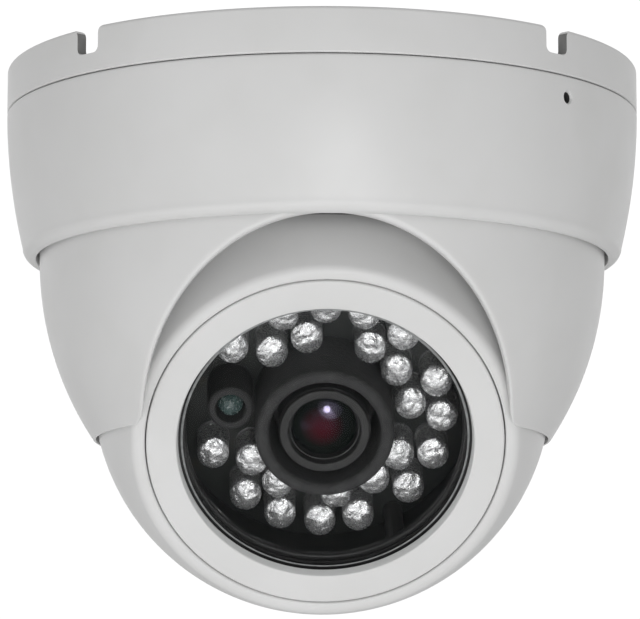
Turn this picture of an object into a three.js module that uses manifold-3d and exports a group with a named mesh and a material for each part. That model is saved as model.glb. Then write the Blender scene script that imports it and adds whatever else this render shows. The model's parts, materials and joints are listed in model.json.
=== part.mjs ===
// Dome CCTV camera, hanging from a ceiling: base tray, bayonet locking ring, panning dome, tilting ball,
// and inside the ball a camera core with a ring of infrared LEDs around a small M12 lens.
// Millimetres, +Z up. The origin is the centre of the ceiling face. The camera looks down and towards -Y.

import * as THREE from "three";
import { mergeVertices } from "three/addons/utils/BufferGeometryUtils.js";
import Module from "manifold-3d";

const wasm = await Module();
wasm.setup();

// ---- Driving dimensions ----

const OVERALL_R = 49; // base rim and the top of the ring
const FIT = 0.3; // gap between neighbouring pieces
const JOIN = 0.5; // how far a joined-on feature reaches into its body
const PAST = 1; // how far a cutter runs past the face it cuts

const BASE = { rimHeight: 6.6, wall: 1.7, floor: 2, edgeRound: 0.6, cableHoleR: 10, turnDeg: -1.7 };
const BASE_GROMMET = { boreR: 5, flangeR: 11.8, flange: 1.2 };
const SPIGOT = { outerR: 44, wall: 2.4, bottom: -22.8 };
const NOTCH = { width: 4.5, depth: 4, cornerR: 1, angles: [45, 135, 225, 315] };
const CEILING_SCREW = {
  circleR: 30, holeR: 2.25, bossR: 4.6, headR: 4, headDepth: 1.2, angles: [90, 210, 330],
};

const RING = {
  top: -7, topRound: 0.4, wallEndR: 46.4, wallEnd: -27.8, edgeRound: 1.8,
  innerR: 46.5, innerEnd: -18, lipR: 44.3, ledge: -27.9,
};
const BAYONET = { angles: [-42, 78, 198], widthDeg: 20, tabR: 46, tabTop: -12, lugTop: -9.2, thick: 2 };
const LOCK_SCREW = { z: -10.2, holeR: 1.15, screwR: 0.85, sunk: 2.5 };

const BALL = { centreZ: -48.75, outerR: 35.4, wall: 2.2, faceH: 20.65, faceRound: 1.8, downDeg: 33.2 };
const SOCKET_R = BALL.outerR + 0.5;

const DOME = {
  arcR: 50, arcCentreR: -6.25, arcCentreZ: -29.5, wall: 2.2, flangeR: 45, flangeTop: -25.4,
};
const DOME_RIM = { z: -57.5, innerR: 34.8, land: 0.6, wallEnd: -56.1, socketTop: -51.5 };
const SLOT = { halfWidth: 27.3, archZ: -57.5, archHeight: 28.4, nearest: 12 };
const SEAT = { top: -23.1, thick: 2, outerR: 44.2, innerR: 29.8, cableGap: 16, screwCircleR: 38.5 };
const SEAT_SCREW = {
  angles: [35, 145, 215, 325], bossR: 2.6, bossBottom: -34, holeR: 1.2,
  size: { headR: 1.9, headHeight: 1.4, shankR: 0.85, length: 8.7 },
};
const FRICTION_RING = { top: -25.4, bottom: -26.9, thick: 2.6, bite: 0.2 };

// Everything from here on is measured in the ball: h runs along the optical axis from the ball's centre.
const BEZEL = { outerR: 26.75, holeR: 22.2, lipBack: 19.2, skirtBack: 14.6, recessR: 24.8, edgeRound: 0.4 };
const SHELL_SHELF = { front: 14.3, back: 12.8, innerR: 24.9 };
const WINDOW = { r: 24.4, back: 17.7, thick: 1.2 };
const GASKET = { innerR: 21.6, outerR: 24.3, back: 16.9, thick: 0.5 };
const RETAINER = {
  innerR: 20.9, outerR: 24.5, skirtInnerR: 23.6, back: 15.1, thick: 1.5,
  postCircleR: 22.4, postR: 1.5, pilotR: 0.95,
};
const LED_BOARD = {
  r: 24.2, back: 2.6, thick: 1.5, holeR: 8.6, screwAngles: [60, 150, 285], screwHoleR: 1.1,
};
const LED = { bodyR: 2.45, flangeR: 2.55, flangeHeight: 0.9, height: 8.4 };
const LED_ROWS = [
  { circleR: 18, angles: [0, 19, 41, 71, 90, 111, 133, 162, 181, 201, 221, 249, 309, 339] },
  { circleR: 13.3, angles: [31, 55, 81, 120, 144, 171, 211, 235, 323, 348] },
];
const LIGHT_SENSOR = {
  circleR: 14.4, angle: 279.5, holderR: 3.6, holderHeight: 9, boreR: 2.3, r: 2, height: 8.7,
};
const SHIELD = { outerR: 10.5, innerR: 8.4, front: 17.4, edgeRound: 0.5 };
const SENSOR_BOARD = { side: 34, back: -8.3, thick: 1.6 };
const LENS_HOLDER = {
  side: 17, baseFront: -1.4, towerR: 7.6, boreR: 6.3, front: 8, cavitySide: 11, roof: 1,
};
const LENS = {
  threadR: 6, headR: 7, back: -1, headBack: 8.6, front: 16.2, edge: 0.3, mouthR: 5.5, boreR: 3,
};
const LENS_GLASS = { r: 4.8, back: 12.2, shoulder: 14.2, tip: 15.8, seatFront: 15, seatLand: 0.2 };
const STANDOFF = { xy: 14.5, r: 2 };
const IMAGE_SENSOR = { side: 8, thick: 1 };
const PROCESSOR = { side: 12, thick: 1.4 };
const CONNECTOR = { width: 9.5, height: 4.5, depth: 4.5, wall: 0.8, y: -12.5 };
const SHELL_SCREW = {
  circleR: 29.2, angles: [90, 270], bossR: 2.4, bossFront: 7, pilotR: 1.2,
  wellR: 2.5, wellWall: 1.1, seat: -4, holeR: 1.3,
  size: { headR: 2.1, headHeight: 1.4, shankR: 0.9, length: 9 },
};
const CABLE_EXIT = { holeR: 4.3, boreR: 1.8, flangeR: 6, flange: 1.2, sunk: 0.6 };
const BOARD_SCREW = { headR: 1.7, headHeight: 1.4, shankR: 0.65, length: 6 };

const FACETS = { large: 40, medium: 28, small: 14, tiny: 8 }; // flats round a full turn

// ---- Materials ----

const finish = (color, roughness, metalness = 0, opacity = 1) =>
  new THREE.MeshStandardMaterial({ color, roughness, metalness, opacity, transparent: opacity < 1 });

const whitePlastic = () => finish(0xdedede, 0.45);
const blackPlastic = () => finish(0x1a1a1b, 0.5);
const lensMetal = () => finish(0x2a2a2b, 0.45, 0.4);
const rubber = () => finish(0x262626, 0.85);
const greyRubber = () => finish(0x3a3a3a, 0.95);
const circuitBoard = () => finish(0x161a18, 0.5);
const chipResin = () => finish(0x101010, 0.6);
const steel = () => finish(0xb5b7ba, 0.35, 1);
const clearGlass = () => finish(0xe8f0f0, 0.05, 0, 0.3);
const coatedGlass = () => finish(0x3a1420, 0.08, 0, 0.9);
const ledResin = () => finish(0xe6e8ea, 0.12, 0, 0.6);
const sensorResin = () => finish(0x5c8a88, 0.2);

// ---- Geometry helpers ----

const rad = THREE.MathUtils.degToRad;
const at = (r, z) => new THREE.Vector2(r, z);

// Points along a circular arc of a profile, both ends included.
function arc(centreR, centreZ, radius, fromDeg, toDeg, steps) {
  return Array.from({ length: steps + 1 }, (_, i) => {
    const angle = rad(fromDeg + ((toDeg - fromDeg) * i) / steps);
    return at(centreR + radius * Math.cos(angle), centreZ + radius * Math.sin(angle));
  });
}

// Points along a circle about the axis's point centreZ, from one height to another.
function sphereArc(centreZ, radius, fromZ, toZ, steps) {
  const angleAt = (z) => THREE.MathUtils.radToDeg(Math.asin((z - centreZ) / radius));
  return arc(0, centreZ, radius, angleAt(fromZ), angleAt(toZ), steps);
}

// Turns a profile of (r, z) points that stays off the axis about Z.
function revolve(profile, facets) {
  const outline = THREE.ShapeUtils.area(profile) < 0 ? [...profile].reverse() : [...profile];
  return new THREE.LatheGeometry([...outline, outline[0].clone()], facets).rotateX(Math.PI / 2);
}

// Turns a profile that starts and ends on the axis, with its points in order from bottom to top.
const turned = (profile, facets) => new THREE.LatheGeometry(profile, facets).rotateX(Math.PI / 2);

const ringProfile = (innerR, outerR, back, front) => [
  at(innerR, back), at(outerR, back), at(outerR, front), at(innerR, front),
];

// An upright cylinder between two heights.
function rod(radius, fromZ, toZ, facets, x = 0, y = 0) {
  const cylinder = new THREE.CylinderGeometry(radius, radius, toZ - fromZ, facets);
  return cylinder.rotateX(Math.PI / 2).translate(x, y, (fromZ + toZ) / 2);
}

function block(sizeX, sizeY, fromZ, toZ, x = 0, y = 0) {
  return new THREE.BoxGeometry(sizeX, sizeY, toZ - fromZ).translate(x, y, (fromZ + toZ) / 2);
}

// A shape drawn in the plan view, raised between two heights.
function raised(shape, fromZ, toZ, curveSegments) {
  const options = { depth: toZ - fromZ, bevelEnabled: false, curveSegments };
  return new THREE.ExtrudeGeometry(shape, options).translate(0, 0, fromZ);
}

// A place on a circle about Z, by its angle anticlockwise from +X.
function aboutAxis(circleR, deg) {
  return { x: circleR * Math.cos(rad(deg)), y: circleR * Math.sin(rad(deg)) };
}

// Angles on the face run clockwise from the top, as they are seen from the front.
function onFace(circleR, clockDeg) {
  return { x: circleR * Math.sin(rad(clockDeg)), y: circleR * Math.cos(rad(clockDeg)) };
}

function toSolid(geometry) {
  const bare = geometry.clone();
  bare.deleteAttribute("normal");
  bare.deleteAttribute("uv");
  const merged = mergeVertices(bare, 1e-4);
  const vertProperties = new Float32Array(merged.attributes.position.array);
  const triVerts = new Uint32Array(merged.index.array);
  return new wasm.Manifold(new wasm.Mesh({ numProp: 3, vertProperties, triVerts }));
}

function toGeometry(solid) {
  const { vertProperties, triVerts } = solid.getMesh();
  const geometry = new THREE.BufferGeometry();
  geometry.setAttribute("position", new THREE.BufferAttribute(vertProperties, 3));
  geometry.setIndex(new THREE.BufferAttribute(triVerts, 1));
  const faceted = geometry.toNonIndexed();
  faceted.computeVertexNormals();
  return faceted;
}

// The body with every addition joined on, then every cutter taken away.
function shaped(body, { add = [], cut = [] }) {
  let solid = toSolid(body);
  for (const piece of add) solid = solid.add(toSolid(piece));
  for (const piece of cut) solid = solid.subtract(toSolid(piece));
  return toGeometry(solid);
}

function part(name, geometry, material) {
  const mesh = new THREE.Mesh(geometry, material);
  mesh.name = name;
  return mesh;
}

function group(...children) {
  const holder = new THREE.Group();
  holder.add(...children);
  return holder;
}

// ---- Base: the tray that is screwed to the ceiling ----

// A bayonet tab or lug: a short sector of a ring, hanging down from the height of its top.
function bayonetPiece(innerR, outerR, middleDeg, top) {
  const shape = new THREE.Shape();
  const from = rad(middleDeg - BAYONET.widthDeg / 2);
  const to = rad(middleDeg + BAYONET.widthDeg / 2);
  shape.absarc(0, 0, outerR, from, to, false);
  shape.absarc(0, 0, innerR, to, from, true);
  return raised(shape, top - BAYONET.thick, top, 3);
}

// Cuts a U-shaped notch in the rim, open to the ceiling.
function notchCutter(angle) {
  const shape = new THREE.Shape();
  const half = NOTCH.width / 2;
  const cornerX = half - NOTCH.cornerR;
  const cornerY = NOTCH.cornerR - NOTCH.depth;
  shape.moveTo(-half, PAST);
  shape.lineTo(-half, cornerY);
  shape.absarc(-cornerX, cornerY, NOTCH.cornerR, Math.PI, 1.5 * Math.PI, false);
  shape.absarc(cornerX, cornerY, NOTCH.cornerR, 1.5 * Math.PI, 2 * Math.PI, false);
  shape.lineTo(half, PAST);
  const cutter = raised(shape, OVERALL_R - 2 * BASE.wall, OVERALL_R + PAST, 3);
  return cutter.rotateX(Math.PI / 2).rotateZ(Math.PI + rad(angle + 90));
}

function mountingBase() {
  const rimInnerR = OVERALL_R - BASE.wall;
  const floorTop = -BASE.rimHeight + BASE.floor;
  const edge = BASE.edgeRound;
  const profile = [
    at(BASE.cableHoleR, -BASE.rimHeight),
    at(SPIGOT.outerR - SPIGOT.wall, -BASE.rimHeight),
    at(SPIGOT.outerR - SPIGOT.wall, SPIGOT.bottom),
    at(SPIGOT.outerR, SPIGOT.bottom),
    at(SPIGOT.outerR, -BASE.rimHeight),
    at(OVERALL_R, -BASE.rimHeight),
    ...arc(OVERALL_R - edge, -edge, edge, 0, 90, 2),
    at(rimInnerR, 0),
    at(rimInnerR, floorTop),
    at(BASE.cableHoleR, floorTop),
  ];
  const seat = -BASE.rimHeight + CEILING_SCREW.headDepth;
  const under = -BASE.rimHeight - PAST;
  const screws = CEILING_SCREW.angles.map((angle) => aboutAxis(CEILING_SCREW.circleR, angle));
  const boss = ({ x, y }) => rod(CEILING_SCREW.bossR, floorTop - JOIN, 0, FACETS.small, x, y);
  const hole = ({ x, y }) => rod(CEILING_SCREW.holeR, under, PAST, FACETS.small, x, y);
  const headSeat = ({ x, y }) => rod(CEILING_SCREW.headR, under, seat, FACETS.small, x, y);
  const tab = (angle) => bayonetPiece(SPIGOT.outerR - JOIN, BAYONET.tabR, angle, BAYONET.tabTop);
  return shaped(revolve(profile, FACETS.large), {
    add: [...screws.map(boss), ...BAYONET.angles.map(tab)],
    cut: [...NOTCH.angles.map(notchCutter), ...screws.map(hole), ...screws.map(headSeat)],
  });
}

// A rubber bush in the floor's cable hole, gripping the floor between two flanges.
function baseGrommet() {
  const gripTop = -BASE.rimHeight + BASE.floor + FIT;
  const gripBottom = -BASE.rimHeight - FIT;
  const neckR = BASE.cableHoleR - FIT;
  const { boreR, flangeR, flange } = BASE_GROMMET;
  return revolve([
    at(boreR, gripBottom - flange), at(flangeR, gripBottom - flange),
    at(flangeR, gripBottom), at(neckR, gripBottom),
    at(neckR, gripTop), at(flangeR, gripTop),
    at(flangeR, gripTop + flange), at(boreR, gripTop + flange),
  ], FACETS.medium);
}

// ---- Ring: twists onto the base and carries the dome's flange on its ledge ----

// The ring's outer wall falls away from the overall radius as the square of the depth.
function ringWall(steps) {
  const top = RING.top - RING.topRound;
  const slope = 0.1; // how much of the lean is straight, the rest being curved
  return Array.from({ length: steps + 1 }, (_, i) => {
    const share = i / steps;
    const lean = slope * share + (1 - slope) * share * share;
    return at(OVERALL_R - (OVERALL_R - RING.wallEndR) * lean, top + (RING.wallEnd - top) * share);
  });
}

// A rod that lies along the radius through the first bayonet lug, at the lock screw's height.
function lockScrewRod(radius, innerEnd, outerEnd) {
  const lying = rod(radius, innerEnd, outerEnd, FACETS.small).rotateY(Math.PI / 2);
  return lying.translate(0, 0, LOCK_SCREW.z).rotateZ(rad(BAYONET.angles[0]));
}

function lockingRing() {
  const edgeR = RING.wallEndR - RING.edgeRound;
  const profile = [
    at(RING.innerR, RING.top),
    at(OVERALL_R - RING.topRound, RING.top),
    ...ringWall(4),
    ...arc(edgeR, RING.wallEnd, RING.edgeRound, -20, -80, 2),
    at(RING.lipR, RING.wallEnd - RING.edgeRound),
    at(RING.lipR, RING.ledge),
    at(DOME.flangeR + FIT, RING.ledge),
    at(RING.innerR, RING.innerEnd),
  ];
  const lug = (angle) => bayonetPiece(SPIGOT.outerR + FIT, RING.innerR + JOIN, angle, BAYONET.lugTop);
  const screwHole = lockScrewRod(LOCK_SCREW.holeR, SPIGOT.outerR - PAST, OVERALL_R + PAST);
  return shaped(revolve(profile, FACETS.large), { add: BAYONET.angles.map(lug), cut: [screwHole] });
}

// A headless screw whose inner end bears on the spigot.
const lockScrew = () =>
  lockScrewRod(LOCK_SCREW.screwR, SPIGOT.outerR + FIT, OVERALL_R - LOCK_SCREW.sunk);

// ---- Dome: the shroud that pans in the ring and cups the ball ----

// Points of the shroud's bulging wall, set in from its outside, between two heights.
function domeWall(inset, fromZ, toZ, steps) {
  const radius = DOME.arcR - inset;
  const angleAt = (z) => THREE.MathUtils.radToDeg(Math.asin((z - DOME.arcCentreZ) / radius));
  return arc(DOME.arcCentreR, DOME.arcCentreZ, radius, angleAt(fromZ), angleAt(toZ), steps);
}

function slotCutter() {
  const shape = new THREE.Shape();
  const open = DOME_RIM.z - 4 * PAST;
  shape.moveTo(-SLOT.halfWidth, open);
  shape.lineTo(SLOT.halfWidth, open);
  shape.absellipse(0, SLOT.archZ, SLOT.halfWidth, SLOT.archHeight, 0, Math.PI, false);
  return raised(shape, SLOT.nearest, OVERALL_R, 10).rotateX(Math.PI / 2);
}

const seatScrewPlaces = SEAT_SCREW.angles.map((angle) => aboutAxis(SEAT.screwCircleR, angle));

function domeShroud() {
  const neckR = DOME.arcCentreR + DOME.arcR;
  const flangeBottom = RING.ledge + FIT;
  const profile = [
    at(DOME_RIM.innerR, DOME_RIM.z),
    at(DOME_RIM.innerR + DOME_RIM.land, DOME_RIM.z),
    ...domeWall(0, DOME_RIM.wallEnd, DOME.arcCentreZ, 6),
    at(neckR, flangeBottom),
    at(DOME.flangeR, flangeBottom),
    at(DOME.flangeR, DOME.flangeTop),
    at(neckR - DOME.wall, DOME.flangeTop),
    ...domeWall(DOME.wall, DOME.arcCentreZ, DOME_RIM.socketTop + PAST, 4),
    ...sphereArc(BALL.centreZ, SOCKET_R, DOME_RIM.socketTop, DOME_RIM.z + JOIN, 2),
  ];
  const { bossR, bossBottom, holeR } = SEAT_SCREW;
  const reach = neckR - DOME.wall + JOIN - SEAT.screwCircleR;
  const bosses = seatScrewPlaces.map(({ x, y }) =>
    rod(bossR, bossBottom, DOME.flangeTop, FACETS.small, x, y));
  const webs = SEAT_SCREW.angles.map((angle) =>
    block(reach, 2 * bossR - JOIN, bossBottom, DOME.flangeTop, SEAT.screwCircleR + reach / 2)
      .rotateZ(rad(angle)));
  const holes = seatScrewPlaces.map(({ x, y }) =>
    rod(holeR, bossBottom + PAST, DOME.flangeTop + PAST, FACETS.tiny, x, y));
  return shaped(revolve(profile, FACETS.large), {
    add: [...bosses, ...webs],
    cut: [slotCutter(), ...holes],
  });
}

// The gap at the back lets the camera's lead through, up to the base.
function cableGap() {
  const reach = SEAT.outerR + PAST;
  return block(SEAT.cableGap, reach, FRICTION_RING.bottom - PAST, SEAT.top + PAST, 0, reach / 2);
}

function ballSeatRing() {
  const back = SEAT.top - SEAT.thick;
  const holes = seatScrewPlaces.map(({ x, y }) =>
    rod(SEAT_SCREW.holeR, back - PAST, SEAT.top + PAST, FACETS.tiny, x, y));
  const plate = revolve(ringProfile(SEAT.innerR, SEAT.outerR, back, SEAT.top), FACETS.large);
  return shaped(plate, { cut: [cableGap(), ...holes] });
}

// A rubber collar under the seat ring that rubs on the ball and holds its aim.
function frictionRing() {
  const { top, bottom, thick, bite } = FRICTION_RING;
  const inner = sphereArc(BALL.centreZ, SOCKET_R - bite, bottom, top, 2);
  const outerR = inner[0].x + thick;
  const profile = [...inner, at(outerR, top), at(outerR, bottom)];
  return shaped(revolve(profile, FACETS.large), { cut: [cableGap()] });
}

// A round-headed screw pointing down -Z, with the underside of its head at the origin.
function screwGeometry({ headR, headHeight, shankR, length }) {
  return turned([
    at(0, -length), at(shankR, -length), at(shankR, 0), at(headR, 0),
    at(headR, headHeight * 0.6), at(headR * 0.7, headHeight), at(0, headHeight),
  ], FACETS.tiny);
}

const seatScrew = ({ x, y }) => screwGeometry(SEAT_SCREW.size).translate(x, y, SEAT.top + FIT);

// ---- Ball: two shells round the camera core ----

const shellScrewPlaces = SHELL_SCREW.angles.map((angle) => onFace(SHELL_SCREW.circleR, angle));
const SHELL_INNER_R = BALL.outerR - BALL.wall;
const PARTING = 0.15; // half the gap between the two shells

function ballFrontShell() {
  const round = BALL.faceRound;
  const roundH = BALL.faceH - round;
  const roundR = Math.sqrt((BALL.outerR - round) ** 2 - roundH ** 2);
  const roundStart = THREE.MathUtils.radToDeg(Math.atan2(roundH, roundR));
  const roundTop = BALL.outerR * Math.sin(rad(roundStart));
  const profile = [
    ...sphereArc(0, BALL.outerR, PARTING, roundTop, 5),
    ...arc(roundR, roundH, round, roundStart, 90, 3).slice(1),
    at(BEZEL.outerR + FIT, BALL.faceH),
    at(BEZEL.outerR + FIT, SHELL_SHELF.front),
    at(SHELL_SHELF.innerR, SHELL_SHELF.front),
    at(SHELL_SHELF.innerR, SHELL_SHELF.back),
    ...sphereArc(0, SHELL_INNER_R, SHELL_SHELF.back, PARTING, 3),
  ];
  const { circleR, bossR, bossFront, pilotR } = SHELL_SCREW;
  const innerEnd = circleR - bossR;
  const outerEnd = SHELL_INNER_R + JOIN;
  const bosses = shellScrewPlaces.map(({ x }) => {
    const middle = Math.sign(x) * (innerEnd + outerEnd) / 2;
    return block(outerEnd - innerEnd, 2 * bossR, PARTING, bossFront, middle);
  });
  const holes = shellScrewPlaces.map(({ x, y }) =>
    rod(pilotR, PARTING - PAST, bossFront - PAST, FACETS.tiny, x, y));
  return shaped(revolve(profile, FACETS.large), { add: bosses, cut: holes });
}

// The back shell has two deep wells for the screws that hold the shells together.
function ballRearShell() {
  const exitH = (radius) => -Math.sqrt(radius ** 2 - CABLE_EXIT.holeR ** 2);
  const profile = [
    ...sphereArc(0, BALL.outerR, exitH(BALL.outerR), -PARTING, 7),
    ...sphereArc(0, SHELL_INNER_R, -PARTING, exitH(SHELL_INNER_R), 5),
  ];
  const { wellR, wellWall, seat, holeR } = SHELL_SCREW;
  const wells = shellScrewPlaces.map(({ x, y }) =>
    rod(wellR + wellWall, -BALL.outerR, -PARTING, FACETS.small, x, y));
  const bores = shellScrewPlaces.map(({ x, y }) => rod(wellR, -BALL.outerR, seat, FACETS.small, x, y));
  const holes = shellScrewPlaces.map(({ x, y }) => rod(holeR, seat - PAST, PAST, FACETS.tiny, x, y));
  const insideBall = toSolid(new THREE.SphereGeometry(BALL.outerR - JOIN, FACETS.medium, FACETS.small));
  const trimmed = wells.map((well) => toGeometry(toSolid(well).intersect(insideBall)));
  return shaped(revolve(profile, FACETS.large), { add: trimmed, cut: [...bores, ...holes] });
}

// A screw that points up the optical axis, with its head on a seat at its back.
const fromBehind = (size, { x, y }, seat) =>
  screwGeometry(size).rotateY(Math.PI).translate(x, y, seat - FIT);

const shellScrew = (place) => fromBehind(SHELL_SCREW.size, place, SHELL_SCREW.seat);

function rearGrommet() {
  const neckR = CABLE_EXIT.holeR - FIT;
  const outerH = -BALL.outerR + CABLE_EXIT.sunk;
  const flangeBack = -Math.sqrt(SHELL_INNER_R ** 2 - CABLE_EXIT.flangeR ** 2) + FIT;
  const flangeFront = flangeBack + CABLE_EXIT.flange;
  return revolve([
    at(CABLE_EXIT.boreR, outerH), at(neckR, outerH), at(neckR, flangeBack),
    at(CABLE_EXIT.flangeR, flangeBack), at(CABLE_EXIT.flangeR, flangeFront),
    at(CABLE_EXIT.boreR, flangeFront),
  ], FACETS.small);
}

// ---- Camera core: bezel, window, LED board and sensor board ----

function frontBezel() {
  const edge = BEZEL.edgeRound;
  return revolve([
    at(BEZEL.holeR, BEZEL.lipBack),
    at(BEZEL.holeR, BALL.faceH - edge),
    at(BEZEL.holeR + edge, BALL.faceH),
    at(BEZEL.outerR - edge, BALL.faceH),
    at(BEZEL.outerR, BALL.faceH - edge),
    at(BEZEL.outerR, BEZEL.skirtBack),
    at(BEZEL.recessR, BEZEL.skirtBack),
    at(BEZEL.recessR, BEZEL.lipBack),
  ], FACETS.large);
}

const windowGlass = () => rod(WINDOW.r, WINDOW.back, WINDOW.back + WINDOW.thick, FACETS.large);

function windowGasket() {
  const { innerR, outerR, back, thick } = GASKET;
  return revolve(ringProfile(innerR, outerR, back, back + thick), FACETS.medium);
}

const boardScrewPlaces = LED_BOARD.screwAngles.map((angle) => onFace(RETAINER.postCircleR, angle));
const BOARD_FRONT = LED_BOARD.back + LED_BOARD.thick;

// A black cup that holds the window in the bezel. The LED board is screwed to its three posts.
function windowRetainer() {
  const { innerR, outerR, skirtInnerR, back } = RETAINER;
  const front = back + RETAINER.thick;
  const skirtBack = BOARD_FRONT + FIT;
  const cup = revolve([
    at(innerR, back), at(skirtInnerR, back), at(skirtInnerR, skirtBack),
    at(outerR, skirtBack), at(outerR, front), at(innerR, front),
  ], FACETS.medium);
  const posts = boardScrewPlaces.map(({ x, y }) =>
    rod(RETAINER.postR, skirtBack, front - JOIN, FACETS.tiny, x, y));
  const holes = boardScrewPlaces.map(({ x, y }) =>
    rod(RETAINER.pilotR, BOARD_FRONT, BOARD_FRONT + BOARD_SCREW.length, FACETS.tiny, x, y));
  return shaped(cup, { add: posts, cut: holes });
}

function ledBoard() {
  const { holeR, r, back, screwHoleR } = LED_BOARD;
  const disc = revolve(ringProfile(holeR, r, back, BOARD_FRONT), FACETS.medium);
  const holes = boardScrewPlaces.map(({ x, y }) =>
    rod(screwHoleR, back - PAST, BOARD_FRONT + PAST, FACETS.tiny, x, y));
  return shaped(disc, { cut: holes });
}

const boardScrew = (place) => fromBehind(BOARD_SCREW, place, LED_BOARD.back);

// A round LED: a thin flange, a straight body and a dome-shaped end.
function ledGeometry() {
  const straight = LED.height - LED.bodyR;
  return turned([
    at(0, 0), at(LED.flangeR, 0), at(LED.flangeR, LED.flangeHeight), at(LED.bodyR, LED.flangeHeight),
    ...arc(0, straight, LED.bodyR, 0, 50, 1), at(0, LED.height),
  ], FACETS.tiny);
}

function leds() {
  const places = LED_ROWS.flatMap(({ circleR, angles }) => angles.map((angle) => onFace(circleR, angle)));
  return places.map(({ x, y }, i) => {
    const led = part(`led_${String(i + 1).padStart(2, "0")}`, ledGeometry(), ledResin());
    led.position.set(x, y, BOARD_FRONT + FIT);
    return led;
  });
}

function lightSensorHolder() {
  const { boreR, holderR, holderHeight } = LIGHT_SENSOR;
  const back = BOARD_FRONT + FIT;
  return revolve(ringProfile(boreR, holderR, back, back + holderHeight), FACETS.small);
}

function lightSensor() {
  const back = BOARD_FRONT + FIT;
  const front = back + LIGHT_SENSOR.height;
  const { r } = LIGHT_SENSOR;
  return turned([at(0, back), at(r, back), ...arc(0, front - r, r, 0, 50, 1), at(0, front)], FACETS.tiny);
}

// A soft tube that keeps the LEDs' light off the lens.
function lensShield() {
  const edge = SHIELD.edgeRound;
  const back = BOARD_FRONT + FIT;
  return revolve([
    at(SHIELD.innerR, back), at(SHIELD.outerR, back), at(SHIELD.outerR, SHIELD.front - edge),
    at(SHIELD.outerR - edge, SHIELD.front), at(SHIELD.innerR + edge, SHIELD.front),
    at(SHIELD.innerR, SHIELD.front - edge),
  ], FACETS.medium);
}

const BOARD_TOP = SENSOR_BOARD.back + SENSOR_BOARD.thick;

const sensorBoard = () => block(SENSOR_BOARD.side, SENSOR_BOARD.side, SENSOR_BOARD.back, BOARD_TOP);

// A square foot over the image sensor, with a tower that the lens screws into.
function lensHolder() {
  const back = BOARD_TOP + FIT;
  const foot = block(LENS_HOLDER.side, LENS_HOLDER.side, back, LENS_HOLDER.baseFront);
  const tower = rod(LENS_HOLDER.towerR, LENS_HOLDER.baseFront - JOIN, LENS_HOLDER.front, FACETS.medium);
  const ceiling = LENS_HOLDER.baseFront - LENS_HOLDER.roof;
  const cavity = block(LENS_HOLDER.cavitySide, LENS_HOLDER.cavitySide, back - PAST, ceiling);
  const bore = rod(LENS_HOLDER.boreR, ceiling - PAST, LENS_HOLDER.front + PAST, FACETS.medium);
  return shaped(foot, { add: [tower], cut: [cavity, bore] });
}

const BOARD_UNDER = SENSOR_BOARD.back - FIT;

const imageSensor = () =>
  block(IMAGE_SENSOR.side, IMAGE_SENSOR.side, BOARD_TOP + FIT, BOARD_TOP + FIT + IMAGE_SENSOR.thick);

const processorChip = () =>
  block(PROCESSOR.side, PROCESSOR.side, BOARD_UNDER - PROCESSOR.thick, BOARD_UNDER);

// A socket on the back of the board, open to the back for the lead's plug.
function boardConnector() {
  const { width, height, depth, wall, y } = CONNECTOR;
  const back = BOARD_UNDER - depth;
  const socket = block(width - 2 * wall, height - 2 * wall, back - PAST, BOARD_UNDER - wall, 0, y);
  return shaped(block(width, height, back, BOARD_UNDER, 0, y), { cut: [socket] });
}

// The two hexagonal standoffs stand at opposite corners of the sensor board.
const standoff = (side) =>
  rod(STANDOFF.r, BOARD_TOP + FIT, LED_BOARD.back - FIT, 6, side * STANDOFF.xy, side * STANDOFF.xy);

// ---- Lens: an M12 lens that turns in its holder to focus ----

function lensBarrel() {
  const glassBoreR = LENS_GLASS.r + FIT;
  const seatBack = LENS_GLASS.back - FIT;
  return revolve([
    at(LENS.boreR, LENS.back), at(LENS.threadR, LENS.back), at(LENS.threadR, LENS.headBack),
    at(LENS.headR, LENS.headBack), at(LENS.headR, LENS.front - LENS.edge),
    at(LENS.headR - LENS.edge, LENS.front), at(LENS.mouthR, LENS.front),
    at(glassBoreR + LENS_GLASS.seatLand, LENS_GLASS.seatFront), at(glassBoreR, LENS_GLASS.seatFront),
    at(glassBoreR, seatBack), at(LENS.boreR, seatBack),
  ], FACETS.medium);
}

// The front element: a plug of glass with a domed face.
function lensGlass() {
  const { r, back, shoulder, tip } = LENS_GLASS;
  const rise = tip - shoulder;
  const faceR = (r * r + rise * rise) / (2 * rise);
  const face = sphereArc(tip - faceR, faceR, shoulder, tip - 0.1 * rise, 2);
  return turned([at(0, back), at(r, back), ...face, at(0, tip)], FACETS.small);
}

// ---- Assembly ----

function numbered(name, places, make, material) {
  return places.map((place, i) => part(`${name}_${i + 1}`, make(place), material()));
}

const base = group(
  part("mounting_base", mountingBase(), whitePlastic()),
  part("base_grommet", baseGrommet(), rubber()),
);

const ring = group(
  part("locking_ring", lockingRing(), whitePlastic()),
  part("lock_screw", lockScrew(), steel()),
);
base.rotation.z = rad(BASE.turnDeg);
ring.rotation.z = rad(BASE.turnDeg);

const dome = group(
  part("dome_shroud", domeShroud(), whitePlastic()),
  part("ball_seat_ring", ballSeatRing(), whitePlastic()),
  part("friction_ring", frictionRing(), greyRubber()),
  ...numbered("seat_screw", seatScrewPlaces, seatScrew, steel),
);

const holder = part("light_sensor_holder", lightSensorHolder(), rubber());
const sensor = part("light_sensor", lightSensor(), sensorResin());
const sensorPlace = onFace(LIGHT_SENSOR.circleR, LIGHT_SENSOR.angle);
holder.position.set(sensorPlace.x, sensorPlace.y, 0);
sensor.position.set(sensorPlace.x, sensorPlace.y, 0);

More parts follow.
